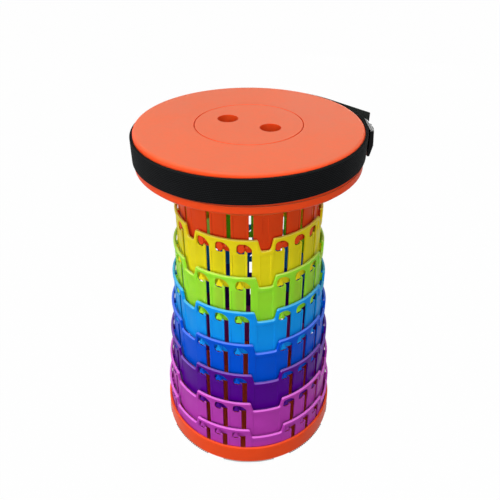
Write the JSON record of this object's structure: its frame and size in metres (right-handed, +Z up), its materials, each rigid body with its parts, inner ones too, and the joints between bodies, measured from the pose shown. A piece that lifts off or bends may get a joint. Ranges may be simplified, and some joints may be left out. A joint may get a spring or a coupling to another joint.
{
  "type": "collapsible telescopic stool",
  "caption": "Round seat on nested plastic rings that slide into each other and lock by pegs, with a dish base and a webbing carrying strap.",
  "frame": {"origin": "on the stool's own axis, at the level of the floor that its rubber pads stand on", "axes": "+Z up along the axis of the rings; -Y is the front, the side that the picture is taken from; +X is the right, where the strap's loose tail and its adjuster are"},
  "size_m": [0.2663, 0.2564, 0.4323],
  "materials": {
    "orange_plastic": "satin moulded plastic",
    "yellow_plastic": "satin moulded plastic",
    "lime_plastic": "satin moulded plastic",
    "sky_plastic": "satin moulded plastic",
    "blue_plastic": "satin moulded plastic",
    "purple_plastic": "satin moulded plastic",
    "pink_plastic": "satin moulded plastic",
    "screw_steel": "zinc plated",
    "pad_rubber": "moulded ribbed rubber",
    "black_webbing": "ribbed polyester webbing",
    "black_plastic": "glossy moulded plastic"
  },
  "bodies": {
    "base": {"base_ring": "orange_plastic", "ring_8": "pink_plastic", "foot_pad_1": "pad_rubber", "foot_pad_2": "pad_rubber", "foot_pad_3": "pad_rubber", "foot_pad_4": "pad_rubber", "foot_pad_5": "pad_rubber", "foot_pad_6": "pad_rubber", "foot_pad_7": "pad_rubber", "foot_pad_8": "pad_rubber"},
    "stage_7": {"ring_7": "pink_plastic"},
    "stage_6": {"ring_6": "purple_plastic"},
    "stage_5": {"ring_5": "blue_plastic"},
    "stage_4": {"ring_4": "sky_plastic"},
    "stage_3": {"ring_3": "lime_plastic"},
    "stage_2": {"ring_2": "yellow_plastic"},
    "stage_1": {"ring_1": "orange_plastic"},
    "seat": {"seat_shell": "orange_plastic", "seat_ring": "orange_plastic", "seat_screw_1": "screw_steel", "seat_screw_2": "screw_steel", "seat_screw_3": "screw_steel", "seat_screw_4": "screw_steel", "seat_screw_5": "screw_steel", "seat_screw_6": "screw_steel", "strap_loop": "black_webbing", "strap_tail": "black_webbing", "strap_adjuster": "black_plastic"},
    "lid": {"seat_lid": "orange_plastic"}
  },
  "joints": [
    {"name": "ring_7_slide", "type": "slide", "parent": "base", "child": "stage_7", "axis": [0, 0, 1], "range_m": [-0.0393, 0]},
    {"name": "ring_6_slide", "type": "slide", "parent": "stage_7", "child": "stage_6", "axis": [0, 0, 1], "range_m": [-0.0458, 0]},
    {"name": "ring_5_slide", "type": "slide", "parent": "stage_6", "child": "stage_5", "axis": [0, 0, 1], "range_m": [-0.0458, 0]},
    {"name": "ring_4_slide", "type": "slide", "parent": "stage_5", "child": "stage_4", "axis": [0, 0, 1], "range_m": [-0.0458, 0]},
    {"name": "ring_3_slide", "type": "slide", "parent": "stage_4", "child": "stage_3", "axis": [0, 0, 1], "range_m": [-0.0458, 0]},
    {"name": "ring_2_slide", "type": "slide", "parent": "stage_3", "child": "stage_2", "axis": [0, 0, 1], "range_m": [-0.0458, 0]},
    {"name": "ring_1_slide", "type": "slide", "parent": "stage_2", "child": "stage_1", "axis": [0, 0, 1], "range_m": [-0.0458, 0]},
    {"name": "seat_slide", "type": "slide", "parent": "stage_1", "child": "seat", "axis": [0, 0, 1], "range_m": [-0.0458, 0]},
    {"name": "lid_lift", "type": "slide", "parent": "seat", "child": "lid", "axis": [0, 0, 1], "range_m": [0, 0.03]}
  ]
}
